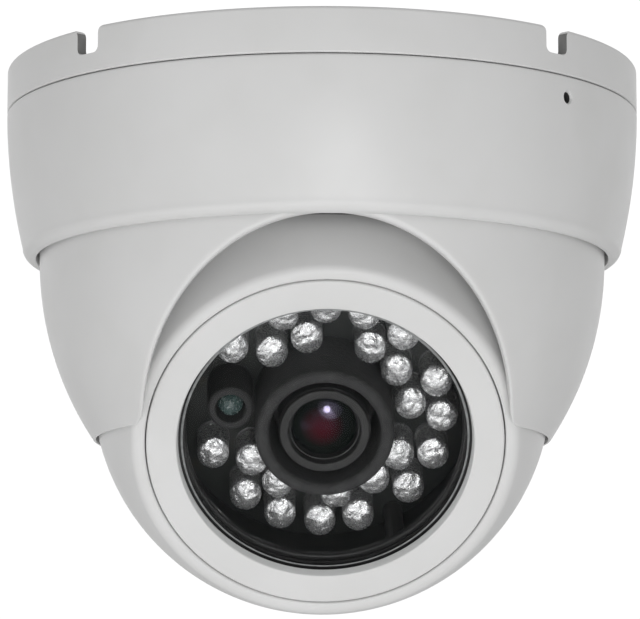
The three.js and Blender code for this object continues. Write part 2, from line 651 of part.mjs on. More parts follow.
const ball = group(
  part("ball_front_shell", ballFrontShell(), whitePlastic()),
  part("ball_rear_shell", ballRearShell(), whitePlastic()),
  ...numbered("shell_screw", shellScrewPlaces, shellScrew, steel),
  part("rear_grommet", rearGrommet(), rubber()),
  part("front_bezel", frontBezel(), whitePlastic()),
  part("window_glass", windowGlass(), clearGlass()),
  part("window_gasket", windowGasket(), rubber()),
  part("window_retainer", windowRetainer(), blackPlastic()),
  part("led_board", ledBoard(), circuitBoard()),
  ...numbered("board_screw", boardScrewPlaces, boardScrew, steel),
  ...leds(),
  holder,
  sensor,
  part("lens_shield", lensShield(), greyRubber()),
  part("lens_holder", lensHolder(), blackPlastic()),
  part("sensor_board", sensorBoard(), circuitBoard()),
  part("image_sensor", imageSensor(), chipResin()),
  part("processor_chip", processorChip(), chipResin()),
  part("board_connector", boardConnector(), whitePlastic()),
  ...numbered("standoff", [1, -1], standoff, steel),
  part("lens_barrel", lensBarrel(), lensMetal()),
  part("lens_glass", lensGlass(), coatedGlass()),
);
ball.position.z = BALL.centreZ;
ball.rotation.x = rad(90 + BALL.downDeg);

export default group(base, ring, dome, ball);
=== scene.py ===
import json
import math
import random
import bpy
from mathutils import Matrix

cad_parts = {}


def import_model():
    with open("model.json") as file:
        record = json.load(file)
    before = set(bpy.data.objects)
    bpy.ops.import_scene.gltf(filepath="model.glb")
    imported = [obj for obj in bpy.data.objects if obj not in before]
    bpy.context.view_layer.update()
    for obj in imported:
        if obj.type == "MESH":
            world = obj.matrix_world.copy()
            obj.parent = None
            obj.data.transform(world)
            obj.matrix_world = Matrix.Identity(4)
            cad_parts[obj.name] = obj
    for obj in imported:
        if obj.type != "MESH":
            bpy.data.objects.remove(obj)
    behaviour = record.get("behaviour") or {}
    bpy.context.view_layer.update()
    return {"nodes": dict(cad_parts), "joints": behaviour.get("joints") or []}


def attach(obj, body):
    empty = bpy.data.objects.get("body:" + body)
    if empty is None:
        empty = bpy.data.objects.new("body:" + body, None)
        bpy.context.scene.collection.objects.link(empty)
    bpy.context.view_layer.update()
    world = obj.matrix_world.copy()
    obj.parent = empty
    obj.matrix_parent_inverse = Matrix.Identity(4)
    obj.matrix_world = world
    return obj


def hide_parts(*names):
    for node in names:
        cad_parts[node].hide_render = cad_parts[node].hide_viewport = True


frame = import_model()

from types import SimpleNamespace

import bmesh
import bpy
from mathutils import Matrix, Vector, noise

# A dome camera that hangs from a ceiling. Profiles are (radius, height) pairs in millimetres about the axis
# of the place that they belong to, and they turn into metres where their mesh is made.

MM = 0.001
SMOOTH_DEG = 32  # an edge sharper than this keeps its crease
ROUND_STEP_DEG = 12  # most that a rounded corner turns from one point to the next
SIDE_SHARE = 0.499  # most of a side that the rounding at one of its ends may take
ROD_FACETS = 48
PAST = 1.0  # how far a cutter runs past what it cuts

# ---- Places, taken from the frame ----

JOINTS = {joint["name"]: joint for joint in frame["joints"]}
HANGING = Matrix.Identity(4)
BALL_CENTRE = Vector(JOINTS["tilt"]["pos_m"])
OPTICAL_AXIS = Vector(JOINTS["roll"]["axis"]).normalized()
ACROSS = Vector((1, 0, 0))
FACE_UP = OPTICAL_AXIS.cross(ACROSS)
FACE = Matrix.Translation(BALL_CENTRE) @ Matrix((ACROSS, FACE_UP, OPTICAL_AXIS)).transposed().to_4x4()


def measured(node, place=HANGING):
    """A node's own middle, and its radii and heights about a place's Z axis, in millimetres."""
    into = place.inverted()
    points = [into @ vertex.co / MM for vertex in frame["nodes"][node].data.vertices]
    xs = [p.x for p in points]
    ys = [p.y for p in points]
    radii = [math.hypot(p.x, p.y) for p in points]
    heights = [p.z for p in points]
    return SimpleNamespace(
        x=(min(xs) + max(xs)) / 2, y=(min(ys) + max(ys)) / 2, width=max(xs) - min(xs),
        bore=min(radii), radius=max(radii), low=min(heights), high=max(heights),
    )


def moved(place, x, y, z=0.0):
    """A place shifted by millimetres along its own axes."""
    return place @ Matrix.Translation(Vector((x, y, z)) * MM)


BASE = measured("mounting_base")
BASE_BUSH = measured("base_grommet")
RING = measured("locking_ring")
LOCK_SCREW = measured("lock_screw")
SHROUD = measured("dome_shroud")
FRONT_SHELL = measured("ball_front_shell", FACE)
REAR_BUSH = measured("rear_grommet", FACE)
BEZEL = measured("front_bezel", FACE)
PANE = measured("window_glass", FACE)
GASKET = measured("window_gasket", FACE)
RETAINER = measured("window_retainer", FACE)
BOARD = measured("led_board", FACE)
TUBE = measured("lens_shield", FACE)
BARREL = measured("lens_barrel", FACE)
LENS = measured("lens_glass", FACE)
BALL_Z = BALL_CENTRE.z / MM

# ---- Mesh helpers ----


def polar(radius, degrees):
    return radius * math.cos(math.radians(degrees)), radius * math.sin(math.radians(degrees))


def arc(centre_r, centre_h, radius, start, end, steps):
    """Points of a profile along an arc, both ends included."""
    angles = [start + (end - start) * i / steps for i in range(steps + 1)]
    return [(centre_r + polar(radius, a)[0], centre_h + polar(radius, a)[1]) for a in angles]


def rounded(corners):
    """A closed outline in which a corner written (r, h, radius) is rounded to that radius."""
    outline = []
    for i, corner in enumerate(corners):
        point = Vector(corner[:2])
        if len(corner) == 2:
            outline.append(tuple(point))
            continue
        back = Vector(corners[i - 1][:2]) - point
        ahead = Vector(corners[(i + 1) % len(corners)][:2]) - point
        half = back.angle(ahead) / 2
        reach = min(corner[2] / math.tan(half), SIDE_SHARE * min(back.length, ahead.length))
        radius = reach * math.tan(half)
        middle = point + (back.normalized() + ahead.normalized()).normalized() * radius / math.sin(half)
        first = point + back.normalized() * reach - middle
        last = point + ahead.normalized() * reach - middle
        steps = max(2, math.ceil(math.degrees(math.pi - 2 * half) / ROUND_STEP_DEG))
        for k in range(steps + 1):
            outline.append(tuple(middle + radius * first.slerp(last, k / steps).normalized()))
    return outline


def linked(name, mesh, place):
    obj = bpy.data.objects.new(name, mesh)
    bpy.context.scene.collection.objects.link(obj)
    obj.matrix_world = place
    return obj


def smooth(obj, degrees=SMOOTH_DEG):
    obj.data.shade_smooth()
    obj.data.set_sharp_from_angle(angle=math.radians(degrees))
    return obj


def skin(name, columns, place=HANGING, looped=True):
    """One closed skin through columns of points. Each column is a closed outline.

    When looped, the last column meets the first. When not, both ends are capped.
    """
    count = len(columns[0])
    faces = []
    for i in range(len(columns) if looped else len(columns) - 1):
        here = i * count
        there = (i + 1) % len(columns) * count
        for k in range(count):
            after = (k + 1) % count
            faces.append((here + k, there + k, there + after, here + after))
    if not looped:
        faces.append(tuple(range(count)))
        faces.append(tuple(range(len(columns) * count - 1, (len(columns) - 1) * count - 1, -1)))
    mesh = bpy.data.meshes.new(name)
    mesh.from_pydata([Vector(p) * MM for column in columns for p in column], [], faces)
    shell = bmesh.new()
    shell.from_mesh(mesh)
    bmesh.ops.remove_doubles(shell, verts=shell.verts, dist=1e-7)
    bmesh.ops.recalc_face_normals(shell, faces=shell.faces)
    shell.to_mesh(mesh)
    shell.free()
    return linked(name, mesh, place)


def turned(name, profile, place=HANGING, facets=192):
    """A profile turned about its place's Z axis."""
    columns = []
    for i in range(facets):
        across, along = polar(1, 360 * i / facets)
        columns.append([(r * across, r * along, h) for r, h in profile])
    return smooth(skin(name, columns, place))


def rod(name, radius, low, high, place):
    return turned(name, [(0, low), (radius, low), (radius, high), (0, high)], place, ROD_FACETS)


def prism(name, outline, low, high, place):
    """An outline in the place's XY plane, raised between two heights."""
    columns = [[(x, y, h) for x, y in outline] for h in (low, high)]
    return smooth(skin(name, columns, place, looped=False))


def box_outline(width, depth):
    right = width / 2
    back = depth / 2
    return [(-right, -back), (right, -back), (right, back), (-right, back)]


def seen_from(place, point):
    """The radius and height of a hanging point, in millimetres, about another place's Z axis."""
    own = place.inverted() @ (point * MM) / MM
    return math.hypot(own.x, own.y), own.z


def carved(obj, add=(), cut=()):
    """Joins pieces on and cuts pieces away, and keeps the result as the object's own mesh."""
    for tools, operation in ((add, "UNION"), (cut, "DIFFERENCE")):
        for tool in tools:
            step = obj.modifiers.new(tool.name, "BOOLEAN")
            step.object = tool
            step.operation = operation
            step.solver = "EXACT"
    graph = bpy.context.evaluated_depsgraph_get()
    mesh = bpy.data.meshes.new_from_object(obj.evaluated_get(graph), depsgraph=graph)
    obj.modifiers.clear()
    obj.data = mesh
    for tool in (*add, *cut):
        bpy.data.objects.remove(tool)
    return smooth(obj)


def softened(obj, width):
    """Small round edges wherever two faces meet at a clear angle."""
    bevel = obj.modifiers.new("edges", "BEVEL")
    bevel.width = width * MM
    bevel.segments = 2
    bevel.limit_method = "ANGLE"
    bevel.angle_limit = math.radians(SMOOTH_DEG)
    return obj


# ---- Materials ----

BLACK = (0, 0, 0)
WHITE = (1, 1, 1)
BAND_SCALE = 0.314  # scale of a wave texture whose bands are one unit apart
MIX_SOCKETS = SimpleNamespace(first=6, second=7, result=2)  # the colour sockets of a Mix node
HOLLOW = SimpleNamespace(full=0.42, none=0.49)  # Pointiness at which the hollow colour is full, and at which there is none


def grey(value):
    return (value, value, value)


class Finish:
    """A Principled material whose colour, roughness and bump come from noise in the piece's own space."""

    def __init__(self, name, dark, light, rough, patch=0.02, **settings):
        self.material = bpy.data.materials.new(name)
        self.material.use_nodes = True
        self.nodes = self.material.node_tree.nodes
        self.links = self.material.node_tree.links
        self.shader = self.nodes["Principled BSDF"]
        for socket, value in settings.items():
            self.shader.inputs[socket.replace("_", " ")].default_value = value
        self.space = self.nodes.new("ShaderNodeTexCoord").outputs["Object"]
        clouds = self.noise(patch, 4)
        self.colour = self.ramp(clouds, (0.3, dark), (0.7, light))
        self.link(self.colour, "Base Color")
        smoothest, roughest = rough
        grain = self.noise(patch / 4, 3)
        self.link(self.ramp(grain, (0.3, grey(smoothest)), (0.7, grey(roughest))), "Roughness")
        self.normal = None

    def link(self, output, socket):
        self.links.new(output, self.shader.inputs[socket])

    def noise(self, size, detail):
        """Noise whose features are about size metres wide."""
        texture = self.nodes.new("ShaderNodeTexNoise")
        texture.inputs["Scale"].default_value = 1 / size
        texture.inputs["Detail"].default_value = detail
        self.links.new(self.space, texture.inputs["Vector"])
        return texture.outputs[0]

    def bands(self, size, distortion):
        """Bands across the Z axis, about size metres apart."""
        wave = self.nodes.new("ShaderNodeTexWave")
        wave.wave_type = "BANDS"
        wave.bands_direction = "Z"
        wave.inputs["Scale"].default_value = BAND_SCALE / size
        wave.inputs["Distortion"].default_value = distortion
        self.links.new(self.space, wave.inputs["Vector"])
        return wave.outputs["Fac"]

    def heart(self, radius, centre):
        """Falls from 1 on a line along Z, through a centre given in radii, to 0 one radius away from it."""
        place = self.nodes.new("ShaderNodeMapping")
        place.vector_type = "POINT"
        place.inputs["Scale"].default_value = (1 / radius, 1 / radius, 0)
        place.inputs["Location"].default_value = [-value for value in centre]
        self.links.new(self.space, place.inputs["Vector"])
        fade = self.nodes.new("ShaderNodeTexGradient")
        fade.gradient_type = "SPHERICAL"
        self.links.new(place.outputs["Vector"], fade.inputs["Vector"])
        return fade.outputs["Fac"]

    def ramp(self, factor, low, high):
        """Blends between two colours, each given after the factor at which it is reached."""
        node = self.nodes.new("ShaderNodeValToRGB")
        for i, (position, colour) in enumerate((low, high)):
            stop = node.color_ramp.elements[i]
            stop.position = position
            stop.color = (*colour, 1)
        self.links.new(factor, node.inputs["Fac"])
        return node.outputs["Color"]

    def mask(self, factor, none, full):
        """A mask that is 0 up to one factor and 1 from another."""
        return self.ramp(factor, (none, BLACK), (full, WHITE))

    def bumped(self, height, depth):
        """Adds relief, depth metres deep, on top of what is there already."""
        bump = self.nodes.new("ShaderNodeBump")
        bump.inputs["Strength"].default_value = 1.0
        bump.inputs["Distance"].default_value = depth
        self.links.new(height, bump.inputs["Height"])
        if self.normal:
            self.links.new(self.normal, bump.inputs["Normal"])
        self.normal = bump.outputs["Normal"]
        self.link(self.normal, "Normal")
        return self

    def tinted(self, factor, colour):
        """Mixes a colour in where the factor is high."""
        mix = self.nodes.new("ShaderNodeMix")
        mix.data_type = "RGBA"
        self.links.new(factor, mix.inputs["Factor"])
        self.links.new(self.colour, mix.inputs[MIX_SOCKETS.first])
        mix.inputs[MIX_SOCKETS.second].default_value = (*colour, 1)
        self.colour = mix.outputs[MIX_SOCKETS.result]
        self.link(self.colour, "Base Color")
        return self

    def worn(self, colour, start=0.53, full=0.6):
        """Mixes a colour in along edges that stick out."""
        edges = self.nodes.new("ShaderNodeNewGeometry").outputs["Pointiness"]
        return self.tinted(self.mask(edges, start, full), colour)

    def hollow_tinted(self, colour):
        """Mixes a colour in, in grooves and corners, where pointiness is low."""
        hollows = self.nodes.new("ShaderNodeNewGeometry").outputs["Pointiness"]
        return self.tinted(self.ramp(hollows, (HOLLOW.full, WHITE), (HOLLOW.none, BLACK)), colour)


def white_plastic():
    finish = Finish("white_moulding", (0.735, 0.735, 0.73), (0.765, 0.765, 0.762), (0.35, 0.43), IOR=1.5)
    finish.bumped(finish.noise(0.00022, 2), 0.000006)
    finish.bumped(finish.noise(0.004, 2), 0.00001)
    dust = finish.mask(finish.noise(0.012, 2), 0.5, 0.95)
    return finish.tinted(dust, (0.71, 0.71, 0.7)).material


def notch_painted_shade():
    """The walls of the notches, which are left rough, with painted shade: a dark colour in place of the
    shadow that falls in the notches.
    """
    finish = Finish("notch_wall_painted_shade", (0.14, 0.14, 0.14), (0.26, 0.26, 0.255), (0.6, 0.8), patch=0.004)
    finish.bumped(finish.noise(0.0004, 3), 0.00004)
    return finish.material


def lock_hole_painted_shade():
    """Painted shade on the wall of the hole that the lock screw runs in: near-black in place of the shadow
    there.
    """
    finish = Finish("lock_hole_painted_shade", grey(0.02), grey(0.05), (0.5, 0.7), patch=0.001)
    finish.bumped(finish.noise(0.0003, 2), 0.00003)
    return finish.material


def black_plastic():
    finish = Finish("black_moulding", (0.012, 0.012, 0.013), (0.02, 0.02, 0.02), (0.4, 0.55))
    finish.bumped(finish.noise(0.0003, 2), 0.00001)
    return finish.worn((0.05, 0.05, 0.05)).material


def black_rubber():
    finish = Finish("black_rubber", (0.018, 0.018, 0.018), (0.03, 0.03, 0.031), (0.7, 0.85))
    finish.bumped(finish.noise(0.0004, 4), 0.00003)
    return finish.hollow_tinted((0.07, 0.07, 0.068)).material


def grey_rubber():
    finish = Finish("grey_rubber", (0.024, 0.024, 0.025), (0.042, 0.042, 0.042), (0.7, 0.9), patch=0.002)
    finish.bumped(finish.noise(0.0007, 4), 0.00018)
    return finish.worn((0.07, 0.07, 0.07), 0.51, 0.6).material


def steel():
    finish = Finish("bright_steel", grey(0.5), (0.66, 0.66, 0.65), (0.22, 0.38), patch=0.002, Metallic=1.0)
    finish.bumped(finish.noise(0.0003, 3), 0.000006)
    return finish.hollow_tinted((0.2, 0.19, 0.18)).material


def silver_plate():
    finish = Finish("silver_plate", (0.72, 0.72, 0.73), WHITE, (0.18, 0.34), patch=0.0006, Metallic=0.97)
    finish.bumped(finish.noise(0.0005, 4), 0.00015)
    return finish.material


def lens_metal():
    finish = Finish("anodised_metal", grey(0.013), grey(0.021), (0.5, 0.65), patch=0.003)
    finish.bumped(finish.bands(0.00012, 0.3), 0.000006)
    return finish.worn((0.06, 0.06, 0.06)).material


def circuit_board():
    finish = Finish("solder_mask", (0.007, 0.009, 0.008), (0.013, 0.016, 0.014), (0.45, 0.6), patch=0.006)
    finish.bumped(finish.noise(0.0009, 3), 0.00002)
    copper = finish.mask(finish.noise(0.003, 3), 0.6, 0.75)
    return finish.tinted(copper, (0.02, 0.018, 0.01)).material


def chip_resin():
    finish = Finish("chip_resin", (0.015, 0.015, 0.016), (0.024, 0.024, 0.025), (0.5, 0.65), patch=0.001)
    finish.bumped(finish.noise(0.00015, 2), 0.000008)
    return finish.worn((0.06, 0.06, 0.06)).material


def connector_plastic():
    finish = Finish("connector_nylon", (0.6, 0.58, 0.5), (0.7, 0.68, 0.6), (0.4, 0.55), patch=0.003)
    finish.bumped(finish.noise(0.0004, 2), 0.00001)
    return finish.hollow_tinted((0.4, 0.38, 0.3)).material


def lens_coating():
    """Dark glass with a deep red heart.

    Its violet reflection is let through on one side only, to suit the pose at rest. Turning the lens dims it.
    """
    finish = Finish("coated_glass", (0.003, 0.005, 0.004), (0.006, 0.008, 0.007), (0.09, 0.13),
                    patch=0.002, IOR=1.8)
    heart = finish.heart(0.0036, (-0.1, 0.1, 0))
    finish.tinted(finish.mask(heart, 0.05, 0.8), (0.045, 0.001, 0.004))
    sheen = finish.heart(0.0024, (0.38, 1.5, 0))
    finish.link(finish.ramp(sheen, (0.1, grey(0.05)), (0.7, grey(0.75))), "Specular IOR Level")
    finish.shader.inputs["Specular Tint"].default_value = (0.75, 0.68, 1.0, 1)
    finish.bumped(finish.noise(0.002, 1), 0.000001)
    return finish.material


def sensor_resin():
    """Grey-green epoxy, mottled by the cell inside it."""
    finish = Finish("sensor_resin", (0.02, 0.038, 0.038), (0.065, 0.105, 0.1), (0.15, 0.3), patch=0.0007)
    specks = finish.mask(finish.noise(0.0003, 2), 0.58, 0.66)
    finish.tinted(specks, (0.22, 0.27, 0.26))
    finish.bumped(finish.noise(0.0006, 2), 0.00025)
    return finish.material


def clear_resin():
    """Epoxy with a slight haze and the flow marks of a casting."""
    finish = Finish("clear_epoxy", (0.86, 0.87, 0.88), (0.97, 0.97, 0.97), (0.02, 0.09), patch=0.001,
                    Transmission_Weight=0.87, IOR=1.42)
    finish.bumped(finish.noise(0.0012, 2), 0.00003)
    return finish.material


def coated_pane():
    """Clear glass. Light goes straight through it, apart from a weak and slightly uneven reflection."""
    finish = Finish("coated_pane", (0.8, 0.85, 0.85), (0.9, 0.93, 0.93), (0.02, 0.05), patch=0.004)
    nodes = finish.nodes
    links = finish.links
    finish.bumped(finish.noise(0.01, 1), 0.000002)
    clear = nodes.new("ShaderNodeBsdfTransparent")
    fresnel = nodes.new("ShaderNodeFresnel")
    fresnel.inputs["IOR"].default_value = 1.14
    mix = nodes.new("ShaderNodeMixShader")
    links.new(fresnel.outputs["Fac"], mix.inputs["Fac"])
    links.new(clear.outputs["BSDF"], mix.inputs[1])
    links.new(finish.shader.outputs["BSDF"], mix.inputs[2])
    links.new(mix.outputs["Shader"], nodes["Material Output"].inputs["Surface"])
    finish.shader.inputs["Metallic"].default_value = 1.0
    return finish.material


def ground_edge():
    """The ground edge of the pane, which scatters light."""
    finish = Finish("ground_glass", (0.24, 0.25, 0.25), (0.4, 0.41, 0.41), (0.3, 0.5), patch=0.001)
    finish.bumped(finish.noise(0.0003, 2), 0.00003)
    return finish.material


MATERIALS = {
    "white_plastic": white_plastic(),
    "black_plastic": black_plastic(),
    "black_rubber": black_rubber(),
    "grey_rubber": grey_rubber(),
    "steel": steel(),
    "window_glass": coated_pane(),
    "lens_glass": lens_coating(),
    "led_resin": clear_resin(),
    "sensor_resin": sensor_resin(),
    "lens_metal": lens_metal(),
    "circuit_board": circuit_board(),
    "chip_resin": chip_resin(),
    "connector_plastic": connector_plastic(),
}
SILVER = silver_plate()


def placed(obj, body, slot, *nodes, material=None):
    """Gives a piece its material and its body, and hides the CAD nodes that it stands for.

    Its place moves into its mesh, except on the lens, whose finishes are centred on it.
    """
    if body != "lens":
        obj.data.transform(obj.matrix_world)
        obj.matrix_world = HANGING
    obj.data.materials.clear()
    obj.data.materials.append(material or MATERIALS[slot])
    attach(obj, body)
    if nodes:
        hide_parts(*nodes)
    return obj


def painted(obj, material, chosen):
    """Gives another material to the faces that are chosen by centre, in millimetres, and normal."""
    obj.data.materials.append(material)
    for face in obj.data.polygons:
        if chosen(face.center / MM, face.normal):
            face.material_index = len(obj.data.materials) - 1


# ---- Base tray ----

SEAM = 0.14  # gap between the tray's edge and the ring
FLOOR = SimpleNamespace(thick=2.0, hole=10.0)
RIM = SimpleNamespace(wall=1.7, round=0.6)
SPIGOT = SimpleNamespace(radius=44.0, wall=2.4)
NOTCH = SimpleNamespace(width=4.5, depth=4.0, corner=1.0, mouth=1.2, angles=(45, 135, 225, 315))
BOSS = SimpleNamespace(circle=30.0, radius=4.6, hole=2.25, head=4.0, sink=1.2, angles=(90, 210, 330))
BAYONET = SimpleNamespace(
    angles=(-42, 78, 198), width=20.0, tab=46.0, tab_top=-12.0, lug_top=-9.2, thick=2.0,
)
LOCK_ANGLE = math.degrees(math.atan2(LOCK_SCREW.y, LOCK_SCREW.x))
BASE_TURN = LOCK_ANGLE - BAYONET.angles[0]  # the tray and ring are turned a little from the dome
BASE_PLACE = Matrix.Rotation(math.radians(BASE_TURN), 4, "Z")
TRAY_LOW = RING.high + SEAM


def bayonet_piece(name, inner, outer, middle, top):
    half = BAYONET.width / 2
    outer_arc = arc(0, 0, outer, middle - half, middle + half, 12)
    inner_arc = arc(0, 0, inner, middle + half, middle - half, 12)
    return prism(name, outer_arc + inner_arc, top - BAYONET.thick, top, BASE_PLACE)


def spot(circle, degrees):
    """A place on the tray, straight above a point of a circle about its axis."""
    return BASE_PLACE @ Matrix.Translation(Vector((*polar(circle, degrees), 0)) * MM)


def notch_cutter(angle):
    """A U-shaped bar that points along the radius, through the rim."""
    half = NOTCH.width / 2
    wide = half + 2 * NOTCH.mouth
    top = BASE.high + 0.02
    outline = rounded([
        (-wide, top + PAST), (-wide, top), (-half, top, NOTCH.mouth), (-half, -NOTCH.depth, NOTCH.corner),
        (half, -NOTCH.depth, NOTCH.corner), (half, top, NOTCH.mouth), (wide, top), (wide, top + PAST),
    ])
    facing = Matrix.Rotation(math.radians(angle + 90), 4, "Z")
    upright = Matrix.Rotation(math.radians(90), 4, "X")
    outward = BASE_PLACE @ facing @ upright
    return prism(f"notch_{angle}", outline, BASE.radius - 2 * RIM.wall, BASE.radius + PAST, outward)


def base_tray():
    floor_top = TRAY_LOW + FLOOR.thick
    rim_inner = BASE.radius - RIM.wall
    profile = rounded([
        (FLOOR.hole, TRAY_LOW, 0.3),
        (SPIGOT.radius - SPIGOT.wall, TRAY_LOW, 0.5),
        (SPIGOT.radius - SPIGOT.wall, BASE.low, 0.4),
        (SPIGOT.radius, BASE.low, 0.6),
        (SPIGOT.radius, TRAY_LOW),
        (BASE.radius, TRAY_LOW, 0.25),
        (BASE.radius, BASE.high, RIM.round),
        (rim_inner, BASE.high, 0.4),
        (rim_inner, floor_top, 0.8),
        (FLOOR.hole, floor_top, 0.3),
    ])
    tray = turned("base_tray", profile, BASE_PLACE, 256)
    bosses = [
        rod(f"boss_{a}", BOSS.radius, floor_top - 0.5, BASE.high, spot(BOSS.circle, a))
        for a in BOSS.angles
    ]
    tabs = [
        bayonet_piece(f"tab_{a}", SPIGOT.radius - 0.5, BAYONET.tab, a, BAYONET.tab_top)
        for a in BAYONET.angles
    ]
    holes = [rod(f"hole_{a}", BOSS.hole, TRAY_LOW - PAST, PAST, spot(BOSS.circle, a)) for a in BOSS.angles]
    seats = [
        rod(f"seat_{a}", BOSS.head, TRAY_LOW - PAST, TRAY_LOW + BOSS.sink, spot(BOSS.circle, a))
        for a in BOSS.angles
    ]
    notches = [notch_cutter(angle) for angle in NOTCH.angles]
    carved(tray, [*bosses, *tabs], [*holes, *seats, *notches])
    placed(tray, "mount", "white_plastic", "mounting_base")

    def on_notch(centre, normal):
        outward = Vector((centre.x, centre.y, 0))
        in_rim = outward.length > rim_inner and centre.z > -NOTCH.depth - NOTCH.corner
        along_radius = abs(normal.dot(outward.normalized())) < 0.3
        steep = abs(normal.z) < 0.7
        return in_rim and along_radius and steep and centre.z < BASE.high - NOTCH.mouth / 2

    # The notch walls get painted shade, a dark colour standing in for the shadow in the notches.
    painted(tray, notch_painted_shade(), on_notch)
    return tray


def base_bush():
    """A rubber bush that grips the floor of the tray between two flanges."""
    flange = 1.2
    neck = FLOOR.hole - 0.3
    profile = rounded([
        (BASE_BUSH.bore, BASE_BUSH.low, 0.5),
        (BASE_BUSH.radius, BASE_BUSH.low, 0.5),
        (BASE_BUSH.radius, BASE_BUSH.low + flange, 0.3),
        (neck, BASE_BUSH.low + flange, 0.2),
        (neck, BASE_BUSH.high - flange, 0.2),
        (BASE_BUSH.radius, BASE_BUSH.high - flange, 0.3),
        (BASE_BUSH.radius, BASE_BUSH.high, 0.5),
        (BASE_BUSH.bore, BASE_BUSH.high, 0.5),
    ])
    return placed(turned("base_bush", profile, facets=96), "mount", "black_rubber", "base_grommet")


# ---- Locking ring ----

RING_WALL = SimpleNamespace(start=0.4, end=-27.8, end_radius=46.4, straight=0.1)
RING_EDGE = SimpleNamespace(round=1.8, lip=44.3, ledge=-27.9, inner=46.5, inner_end=-18.0)
LOCK_HOLE = SimpleNamespace(radius=0.85, flare=0.2)
SOCKET = SimpleNamespace(share=0.5, depth=0.8, sides=6)  # of the lock screw's hexagonal drive


def ring_wall(steps):
    """The outer wall leans in, first in a straight line and then more and more."""
    top = RING.high - RING_WALL.start
    points = []
    for i in range(steps + 1):
        share = i / steps
        lean = RING_WALL.straight * share + (1 - RING_WALL.straight) * share * share
        radius = RING.radius - (RING.radius - RING_WALL.end_radius) * lean
        points.append((radius, top + (RING_WALL.end - top) * share))
    return points


def lock_screw_place():
    """At the middle of the ring, with Z pointing out through the lock screw."""
    out = Matrix.Rotation(math.radians(LOCK_ANGLE), 4, "Z") @ Matrix.Rotation(math.radians(90), 4, "Y")
    return Matrix.Translation((0, 0, (LOCK_SCREW.low + LOCK_SCREW.high) / 2 * MM)) @ out


def twist_ring():
    start = RING_WALL.start
    top_edge = arc(RING.radius - start, RING.high - start, start, 90, 0, 6)
    edge_middle = RING_WALL.end_radius - RING_EDGE.round
    low_edge = arc(edge_middle, RING_WALL.end, RING_EDGE.round, -8, -90, 16)
    lip = RING_EDGE.lip
    low = RING_WALL.end - RING_EDGE.round
    inside = rounded([
        (edge_middle, low), (lip, low, 0.15), (lip, RING_EDGE.ledge, 0.15),
        (SHROUD.radius + 0.3, RING_EDGE.ledge, 0.2), (RING_EDGE.inner, RING_EDGE.inner_end, 1.0),
        (RING_EDGE.inner, RING.high, 0.3),
    ])
    ring = turned("twist_ring", top_edge + ring_wall(28)[1:] + low_edge + inside[1:], facets=288)
    lugs = [
        bayonet_piece(f"lug_{a}", SPIGOT.radius + 0.3, RING_EDGE.inner + 0.5, a, BAYONET.lug_top)
        for a in BAYONET.angles
    ]
    inner_end = SPIGOT.radius - 1
    flare = LOCK_HOLE.flare
    mouth = RING.radius - 0.3
    hole = turned("lock_hole", [
        (0, inner_end), (LOCK_HOLE.radius, inner_end), (LOCK_HOLE.radius, mouth - flare),
        (LOCK_HOLE.radius + 0.4 * flare, mouth), (LOCK_HOLE.radius + 3 * flare, mouth + PAST),
        (0, mouth + PAST),
    ], lock_screw_place(), 48)
    placed(carved(ring, lugs, [hole]), "ring", "white_plastic", "locking_ring")

    def in_lock_hole(centre, _normal):
        radius, height = seen_from(lock_screw_place(), centre)
        return radius < LOCK_HOLE.radius and height < mouth - flare

    # The bore of the lock hole gets painted shade, near-black where its shadow falls.
    painted(ring, lock_hole_painted_shade(), in_lock_hole)
    return ring


def screw_socket(radius, low, high, place):
    """A cutter for a hexagonal driver."""
    outline = [polar(radius, 360 * i / SOCKET.sides) for i in range(SOCKET.sides)]
    return prism("socket", outline, low, high, place)


def set_screw():
    place = lock_screw_place()
    reach = measured("lock_screw", place)
    profile = rounded([
        (0, reach.low), (reach.radius, reach.low, 0.2), (reach.radius, reach.high, 0.15), (0, reach.high),
    ])
    screw = turned("set_screw", profile, place, 48)
    socket = screw_socket(SOCKET.share * reach.radius, reach.high - SOCKET.depth, reach.high + PAST, place)
    return placed(carved(screw, cut=[socket]), "ring", "steel", "lock_screw")


# ---- Dome shroud ----

DOME = SimpleNamespace(
    arc=50.0, arc_r=-6.25, arc_z=-29.5, wall=2.2, neck_top=-27.6,
    socket=35.9, socket_top=-51.5, socket_blend=0.8,
)
SLOT = SimpleNamespace(
    half_width=27.3, height=28.4, lip=0.9, inner_lip=0.35, corner=2.2, margin=1.5,
    # near the front its walls run straight back, which fades out over fade_deg up to fade_end_deg
    fade_end_deg=62, fade_deg=9,
)
SLOT_STEPS = SimpleNamespace(arch=96, corner=12, rim=90)
WALL_ROWS = 22


def dome_radius(height, inset=0.0):
    """The shroud bulges along a circular arc below its straight neck."""
    if height >= DOME.arc_z:
        return DOME.arc_r + DOME.arc - inset
    return DOME.arc_r + math.sqrt((DOME.arc - inset) ** 2 - (height - DOME.arc_z) ** 2)


def socket_radius(height):
    """The inside of the wall, which is a bearing for the ball near the rim."""
    inner = dome_radius(height, DOME.wall)
    if height > DOME.socket_top + DOME.socket_blend:
        return inner
    bearing = math.sqrt(DOME.socket ** 2 - (height - BALL_Z) ** 2)
    share = min(1.0, max(0.0, (DOME.socket_top + DOME.socket_blend - height) / DOME.socket_blend))
    return inner + (bearing - inner) * share


def bend(a, corner, b, steps):
    """A rounded corner between a and b, with both ends."""
    shares = [i / steps for i in range(steps + 1)]
    return [a * (1 - t) ** 2 + corner * 2 * t * (1 - t) + b * t * t for t in shares]


